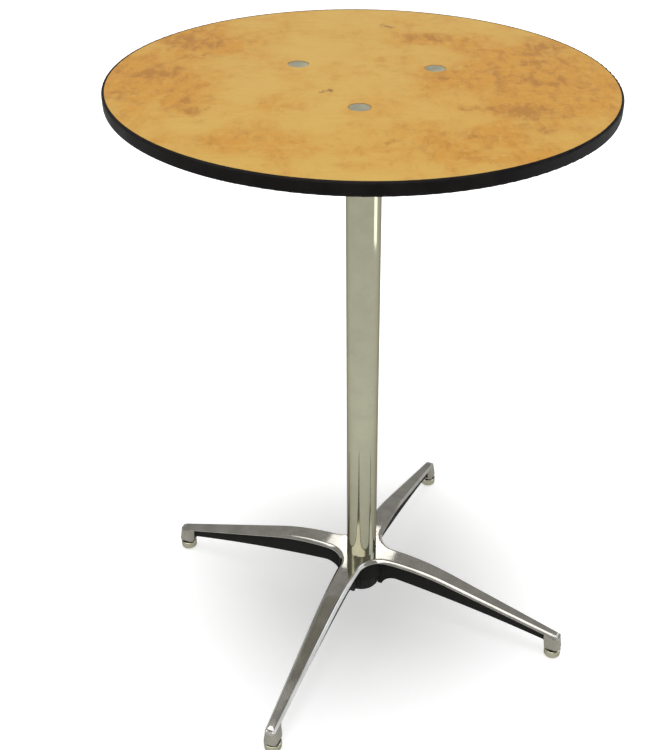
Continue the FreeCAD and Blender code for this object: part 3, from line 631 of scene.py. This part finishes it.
def repeat_round(mesh_data, mirrored=False):
    """Turns one arm's mesh to all arms and welds it; mirrored first makes up its other half."""
    source = mesh_data.verts[:] + mesh_data.edges[:] + mesh_data.faces[:]
    if mirrored:
        copy = bmesh.ops.duplicate(mesh_data, geom=source)["geom"]
        verts = [g for g in copy if isinstance(g, bmesh.types.BMVert)]
        faces = [g for g in copy if isinstance(g, bmesh.types.BMFace)]
        bmesh.ops.scale(mesh_data, vec=(1, -1, 1), verts=verts)
        bmesh.ops.reverse_faces(mesh_data, faces=faces)
    source = mesh_data.verts[:] + mesh_data.edges[:] + mesh_data.faces[:]
    for i in range(1, ARM_COUNT):
        copy = bmesh.ops.duplicate(mesh_data, geom=source)["geom"]
        verts = [g for g in copy if isinstance(g, bmesh.types.BMVert)]
        turn = Matrix.Rotation(TURN * i / ARM_COUNT, 3, "Z")
        bmesh.ops.rotate(mesh_data, verts=verts, matrix=turn)
    bmesh.ops.remove_doubles(mesh_data, verts=mesh_data.verts, dist=WELD)
    bmesh.ops.dissolve_degenerate(mesh_data, edges=mesh_data.edges, dist=WELD / 2)
    bmesh.ops.recalc_face_normals(mesh_data, faces=mesh_data.faces)


def painted_arms(name, columns, mirrored=False):
    """Painted solid of closed columns on every arm, capped where it meets no mirror image."""
    mesh_data = bmesh.new()
    verts = bridge_columns(mesh_data, columns)
    mesh_data.faces.new(verts[0])
    if not mirrored:
        mesh_data.faces.new(verts[-1])
    repeat_round(mesh_data, mirrored)
    shade_by_angle(mesh_data)
    new_piece(name, mesh_data, "black_paint", "table", "base_casting")


def make_arms():
    """Polished top plate of the base: flat arms with a bevelled edge and rolled noses."""
    rows, side, nose = half_outline(), side_profile(), nose_profile()
    inner = inner_line(rows, nose[0].x)
    side_line, side_normal = next((row[0], row[1]) for row in rows if row[2] == 0.0)
    columns = []
    for (point, normal, noseness), middle in zip(rows, inner):
        edge = [s.lerp(n, noseness) for s, n in zip(side, nose)]
        depth = (middle - point).dot(normal)
        flat_start = point.lerp(middle, edge[0].x / depth)
        column = []
        for share in spread(0, 1, FLAT_STEPS)[:-1]:
            at = middle.lerp(flat_start, share)
            column.append(Vector((at.x, at.y, arm_top(at.x))))
        reached = 0.0
        for k, (inward, drop) in enumerate(edge):
            at = point.lerp(middle, inward / depth)
            if k < UPPER_POINTS and point.x > NOSE_END - nose[0].x:
                beside = drop_at(side, (at - side_line).dot(side_normal))
                drop = max(reached, beside, drop_at(nose, NOSE_END - at.x))
            reached = drop
            column.append(Vector((at.x, at.y, arm_top(at.x) - drop)))
        under = column[-1]
        drop = edge[-1].y
        for share in spread(0, 1, UNDER_STEPS)[1:]:
            at = Vector(under[:2]).lerp(middle, share)
            column.append(Vector((at.x, at.y, arm_top(at.x) - drop)))
        columns.append(column)
    socket_from = next(i for i, m in enumerate(inner) if m.y > 0) - 1
    mesh_data = bmesh.new()
    bridge_columns(mesh_data, columns, socket_from)
    repeat_round(mesh_data, mirrored=True)
    shade_by_angle(mesh_data, ARMS_CREASE)
    new_piece("arms_polished", mesh_data, "cast_aluminium", "table", "base_casting")


def make_underside():
    """Painted skin under the plate, from just inside its edge to the column's socket."""
    rows = half_outline()
    inner = inner_line(rows, nose_profile()[0].x)
    columns = []
    for (point, normal, _), middle in zip(rows, inner):
        if point.x > TOE_HEEL - SKIN_TOE_GAP:
            continue
        edge = point + normal * SKIN_INSET
        column = []
        for at, extra in ((middle, -SKIN), (edge, -SKIN), (edge, SKIN), (middle, SKIN)):
            column.append(Vector((at.x, at.y, arm_top(at.x) - PLATE - extra)))
        columns.append(column)
    painted_arms("underside_painted", columns, mirrored=True)


def post_level(rise):
    """Middle of a toe's post at a height above its foot."""
    return TOE_END - TOE_DEPTH / 2 - rise * math.tan(TOE_LEAN)


def make_toes():
    """Posts under the noses, leaning out to the glides."""

    def post_outline(half_depth, half_width, outer_corner):
        return fillet_path([
            (0, half_width),
            (half_depth, half_width, outer_corner),
            (half_depth, -half_width, outer_corner),
            (-half_depth, -half_width, POST_HEEL_CORNER),
            (-half_depth, half_width, POST_HEEL_CORNER),
            (0, half_width),
        ], POST_STEPS)[:-1]

    mesh_data = bmesh.new()
    rings = []
    for height, growth in POST_LEVELS:
        rise, grow = height * MM, growth * MM
        half_depth = TOE_DEPTH / 2 + (grow if height < POST_FOOT_ROUND else 0)
        corner = POST_CORNER - POST_CORNER_LOSS * rise
        rings.append([
            mesh_data.verts.new((post_level(rise) + p.x, p.y, TOE_BOTTOM + rise))
            for p in post_outline(half_depth, POST_HALF_WIDTH + grow, corner)
        ])
    top = []
    for vert in rings[-1]:
        x = vert.co.x - POST_CAP_RISE * math.tan(TOE_LEAN)
        z = max(arm_top(x) - POST_UNDER_TOP, vert.co.z + POST_CAP_LEAST)
        top.append(mesh_data.verts.new((x, vert.co.y, z)))
    rings.append(top)
    join_rings(mesh_data, rings)
    mesh_data.faces.new(rings[0])
    mesh_data.faces.new(top)
    repeat_round(mesh_data)
    shade_by_angle(mesh_data)
    # the posts take a darker copy of the arms' metal, a painted shade on their faces
    new_piece(
        "toes_polished", mesh_data, "cast_aluminium", "table", "base_casting", "toe_aluminium_painted_shade"
    )


def make_heels():
    """Painted skin on the posts' heels."""
    around = [(HEEL_LOW, 0), (HEEL_HIGH, 0), (HEEL_HIGH, HEEL_SKIN), (HEEL_LOW, HEEL_SKIN)]
    columns = []
    for y in spread(-HEEL_HALF, HEEL_HALF, HEEL_STEPS):
        column = []
        for rise, into in around:
            x = post_level(rise) - TOE_DEPTH / 2 - SKIN + into
            column.append(Vector((x, y, TOE_BOTTOM + rise)))
        columns.append(column)
    painted_arms("heels_painted", columns)


def arc(x, z, radius, turns):
    """Points (x, z) of an arc at the given turns."""
    return [Vector((x + radius * math.cos(t), z + radius * math.sin(t))) for t in turns]


def rib_line():
    """Points (x, z) of a rib's lower edge from beside the knob to the toe's heel."""
    tip = spread(RIB_INNER, RIB_TIP_OUTER, RIB_TIP_STEPS)
    points = [Vector((x, RIB_TIP_LOW)) for x in tip]
    centre_z = RIB_ROOT_LOW - RIB_ROOT_RADIUS
    tip_turn = math.pi - math.asin((RIB_TIP_LOW - centre_z) / RIB_ROOT_RADIUS)
    centre_x = RIB_TIP_OUTER - RIB_ROOT_RADIUS * math.cos(tip_turn)
    turns = spread(tip_turn, math.pi / 2, RIB_ROOT_STEPS)[1:]
    points += arc(centre_x, centre_z, RIB_ROOT_RADIUS, turns)
    start = points[-1]
    heel_z = arm_top(TOE_HEEL) - RIB_TOE_DEPTH - HEEL_RADIUS
    heel_x = TOE_HEEL - (heel_z - TOE_BOTTOM) * math.tan(TOE_LEAN)
    heel_x -= HEEL_RADIUS / math.cos(TOE_LEAN)
    end = Vector((heel_x, heel_z + HEEL_RADIUS))
    for share in spread(0, 1, RIB_STEPS)[1:]:
        arch = RIB_ARCH * 4 * share * (1 - share)
        points.append(start.lerp(end, share) + Vector((0, arch)))
    points += arc(heel_x, heel_z, HEEL_RADIUS, spread(math.pi / 2, TOE_LEAN, HOLLOW_STEPS)[1:])
    points.append(points[-1] + Vector((RIB_INTO_TOE, 0)))
    return points


def make_ribs():
    """Painted upright rib under the middle of each arm."""
    columns = []
    for x, low in rib_line():
        high = arm_top(x) - PLATE / 2
        outline = fillet_path([
            (RIB_HALF, high),
            (RIB_HALF, low, RIB_ROUND),
            (-RIB_HALF, low, RIB_ROUND),
            (-RIB_HALF, high),
        ], ROUND_STEPS)
        columns.append([Vector((x, y, z)) for y, z in outline])
    painted_arms("ribs_painted", columns)


# ---------------------------------------------------------------------- turned pieces

TUBE_WALL = 1.65 * MM
TUBE_EDGE = 0.5 * MM
STEM_HOLE = 4.4 * MM                 # radius of the hole round a glide's stem
CUP_WALL = 5.6 * MM
CUP_ROOF = 2.7 * MM
CUP_TAPER = 0.4 * MM                 # the cup's foot is this much narrower all round
CUP_LOW_ROUND = 3.6 * MM
CUP_TOP_ROUND = 2.1 * MM
CUP_RIM_ROUND = 0.4 * MM
CUSHION_ROUND = 0.8 * MM
FINE_EDGE = 0.2 * MM
SOFT_EDGE = 0.5 * MM
TURNED_SEGMENTS = 96
COLUMN_SEGMENTS = 128
GLIDE_SEGMENTS = 80


def turned_piece(name, corners, slot, body, node, segments=TURNED_SEGMENTS, x=0.0, y=0.0):
    """Piece turned about an upright axis.

    The corners of its closed outline are (radius, z, rounding), and the first stays sharp.
    """
    outline = fillet_path(corners + corners[:1], ROUND_STEPS)[:-1]
    turns = [TURN * i / segments for i in range(segments)]
    mesh_data = bmesh.new()
    rings = [
        [mesh_data.verts.new((x + r * math.cos(t), y + r * math.sin(t), z)) for t in turns]
        for r, z in outline
    ]
    join_rings(mesh_data, rings + rings[:1])
    bmesh.ops.recalc_face_normals(mesh_data, faces=mesh_data.faces)
    shade_by_angle(mesh_data)
    new_piece(name, mesh_data, slot, body, node)


def make_hub_core():
    """Painted socket boss under the hub."""
    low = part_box("clamp_washer")[1].z
    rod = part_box("tie_rod")[1].x + ROD_CLEARANCE
    high = HUB_TOP - PLATE / 2
    socket_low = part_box("column_tube")[0].z
    corners = [
        (rod, socket_low),
        (rod, low, SOFT_EDGE),
        (CORE_RADIUS, low, CORE_ROUND),
        (CORE_RADIUS, high, FINE_EDGE),
        (SOCKET_RADIUS, high, FINE_EDGE),
        (SOCKET_RADIUS, socket_low, FINE_EDGE),
    ]
    turned_piece("hub_painted", corners, "black_paint", "table", "base_casting")


def make_column():
    """Chromed tube with rounded ends."""
    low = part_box("column_tube")[0].z
    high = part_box("column_tube")[1].z
    inner = COLUMN_RADIUS - TUBE_WALL
    corners = [
        (inner, (low + high) / 2),
        (inner, low, TUBE_EDGE),
        (COLUMN_RADIUS, low, TUBE_EDGE),
        (COLUMN_RADIUS, high, TUBE_EDGE),
        (inner, high, TUBE_EDGE),
    ]
    turned_piece("column_chromed", corners, "chrome", "table", "column_tube", COLUMN_SEGMENTS)


def make_glide(number):
    """Cup and dark washer of one glide."""
    cap = "glide_cap_%d" % number
    washer = "glide_washer_%d" % number
    body = "foot_%d" % number
    low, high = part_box(cap)
    stem = (low.x + high.x) / 2, (low.y + high.y) / 2
    outer = (high.x - low.x) / 2
    bore = outer - CUP_WALL
    roof = high.z - CUP_ROOF
    corners = [
        (STEM_HOLE, (roof + high.z) / 2),
        (STEM_HOLE, roof, FINE_EDGE),
        (bore, roof, SOFT_EDGE),
        (bore, low.z, CUP_RIM_ROUND),
        (outer - CUP_TAPER, low.z, CUP_LOW_ROUND),
        (outer, high.z, CUP_TOP_ROUND),
        (STEM_HOLE, high.z, FINE_EDGE),
    ]
    turned_piece("cup_%d" % number, corners, "chrome", body, cap, GLIDE_SEGMENTS, *stem)
    low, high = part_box(washer)
    outer = (high.x - low.x) / 2
    corners = [
        (STEM_HOLE, (low.z + high.z) / 2),
        (STEM_HOLE, low.z, FINE_EDGE),
        (outer, low.z, CUSHION_ROUND),
        (outer, high.z, CUSHION_ROUND),
        (STEM_HOLE, high.z, FINE_EDGE),
    ]
    name = "cushion_%d" % number
    turned_piece(name, corners, "black_plastic", body, washer, GLIDE_SEGMENTS, *stem)


# ------------------------------------------------------------------------------ studio

WHITE = rgb(1, 1, 1)
FLOOR_HALF = 9.0
FLOOR_DROP = 0.2 * MM                # keeps it clear of the glides' pads
FLOOR_COLOUR = rgb(0.79, 0.80, 0.82)

# Two distances from the column, and the floor's glow at each. To the camera the glow is least by
# the column, a painted shade round the base.
SEEN_GLOW_AND_PAINTED_SHADE = (0.0, 0.8, 0.38, 0.80)
# In reflections the glow is most by the column: a painted light over the base's shadow.
MIRRORED_GLOW_AND_PAINTED_LIGHT = (0.1, 1.1, 0.42, 0.2)

# Two parts of a ray's direction, up, ahead or across, and the studio's or window's level
# at each.
STUDIO_COLOUR = rgb(1.0, 0.985, 0.95)
STUDIO_LEVEL = (0.02, 0.14, 0.55, 0.48)
WINDOW_AHEAD = (0.0, 0.1, 0.0, 10.0)
WINDOW_SIDES = (0.026, 0.038, 1.0, 0.0)
WINDOW_SILL = (0.664, 0.670)
WINDOW_HEAD = (0.678, 0.684, 1.0, 0.0)

# Place, target, size, power and colour, with the camera on the -Y side of the column. A
# card shows in polished metal and lights nothing else; the overhead lamp does the opposite.
OVERHEAD = ((0, -0.4, 6.0), (0, 0, 0), (2.6, 2.6), 160)
CARDS = {
    "front_card": ((-1.2, -1.9, 4.2), (0, 0, 0.3), (6.0, 3.8), 190),
    "side_card": ((2.5, -0.2, 0.8), (0, -0.2, 0.6), (2.4, 1.0), 8.5, (0.86, 0.90, 1.0)),
    "high_card": ((2.3, 0, 2.1), (0, 0, 0.13), (1.4, 1.4), 18, (0.7, 0.8, 1.0)),
    "low_card": ((1.9, -0.26, 0.18), (0, -0.26, 0.3), (0.86, 0.3), 1.5, (0.92, 0.96, 1.0)),
}


def make_floor():
    """Pale floor that keeps the object's shadow.

    It glows to the camera, more so away from the object, which paints shade round the base; in
    reflections it glows less, and most near the object, which paints light over the base's
    shadow.
    """
    mesh = bpy.data.meshes.new("floor")
    signs = ((-1, -1), (1, -1), (1, 1), (-1, 1))
    corners = [(x * FLOOR_HALF, y * FLOOR_HALF, 0) for x, y in signs]
    mesh.from_pydata(corners, [], [(0, 1, 2, 3)])
    floor = bpy.data.objects.new("floor", mesh)
    bpy.context.scene.collection.objects.link(floor)
    floor.location.z = -FLOOR_DROP
    material, s = new_material("floor")
    ray = s.add("ShaderNodeLightPath").outputs
    mirrored = s.math("MAXIMUM", ray["Is Glossy Ray"], ray["Is Transmission Ray"])
    diffuse = s.add("ShaderNodeBsdfDiffuse", {"Color": FLOOR_COLOUR})
    away = s.vector("LENGTH", s.place(), output="Value")
    # painted shade: to the camera the floor glows less near the column, darkening it round the
    # base
    seen = s.math("MULTIPLY", ray["Is Camera Ray"], s.ramp(away, *SEEN_GLOW_AND_PAINTED_SHADE))
    # painted light: in reflections the floor glows more near the column, lifting the base's
    # shadow
    mirrored = s.math("MULTIPLY", mirrored, s.ramp(away, *MIRRORED_GLOW_AND_PAINTED_LIGHT))
    level = s.math("ADD", seen, mirrored)
    glow = s.add("ShaderNodeEmission", {"Color": WHITE, "Strength": level})
    both = s.add("ShaderNodeAddShader", {0: diffuse.outputs[0], 1: glow.outputs[0]})
    s.add("ShaderNodeOutputMaterial", {"Surface": both.outputs[0]})
    mesh.materials.append(material)


def make_world():
    """Evenly pale studio with one small high window; the camera itself sees plain white."""
    world = bpy.data.worlds.new("studio")
    bpy.context.scene.world = world
    s = Shader(world)
    direction = s.add("ShaderNodeTexCoord").outputs["Generated"]
    height = s.add("ShaderNodeSeparateXYZ", {0: direction}).outputs["Z"]
    aligned = Matrix.Rotation(ARMS_TURNED, 3, "Z")
    across, ahead = [
        s.vector("DOT_PRODUCT", direction, aligned @ Vector(way), output="Value")
        for way in ((1, 0, 0), (0, 1, 0))
    ]
    sides = s.ramp(s.math("ABSOLUTE", across), *WINDOW_SIDES)
    window = s.math("MULTIPLY", s.ramp(ahead, *WINDOW_AHEAD), sides)
    window = s.math("MULTIPLY", window, s.ramp(height, *WINDOW_SILL))
    window = s.math("MULTIPLY", window, s.ramp(height, *WINDOW_HEAD))
    level = s.math("ADD", s.ramp(height, *STUDIO_LEVEL), window)
    seen = s.add("ShaderNodeLightPath").outputs["Is Camera Ray"]
    level = s.math("MAXIMUM", level, seen)
    colour = s.mix(seen, STUDIO_COLOUR, WHITE)
    light = s.add("ShaderNodeBackground", {"Color": colour, "Strength": level})
    s.add("ShaderNodeOutputWorld", {"Surface": light.outputs[0]})


def add_lamp(name, card, place, target, size, power, colour=(1, 1, 1)):
    """Area lamp facing a target; see CARDS."""
    data = bpy.data.lights.new(name, "AREA")
    data.shape = "RECTANGLE"
    data.size, data.size_y = size
    data.energy = power
    data.color = colour
    lamp = bpy.data.objects.new(name, data)
    bpy.context.scene.collection.objects.link(lamp)
    turned = Matrix.Rotation(ARMS_TURNED, 3, "Z")
    at = turned @ Vector(place)
    aim = turned @ Vector(target)
    lamp.location = at
    lamp.rotation_euler = (aim - at).to_track_quat("-Z", "Y").to_euler()
    lamp.visible_camera = False
    lamp.visible_diffuse = not card
    lamp.visible_glossy = card


def light_studio():
    """The overhead lamp and all the cards."""
    add_lamp("overhead", False, *OVERHEAD)
    for name, card in CARDS.items():
        add_lamp(name, True, *card)


# -------------------------------------------------------------------------------- make

bpy.context.scene.view_settings.view_transform = "Standard"
place_camera()
make_floor()
make_world()
light_studio()
finish_nodes()
make_arms()
make_toes()
make_heels()
make_underside()
make_ribs()
make_hub_core()
make_column()
for glide in range(1, ARM_COUNT + 1):
    make_glide(glide)
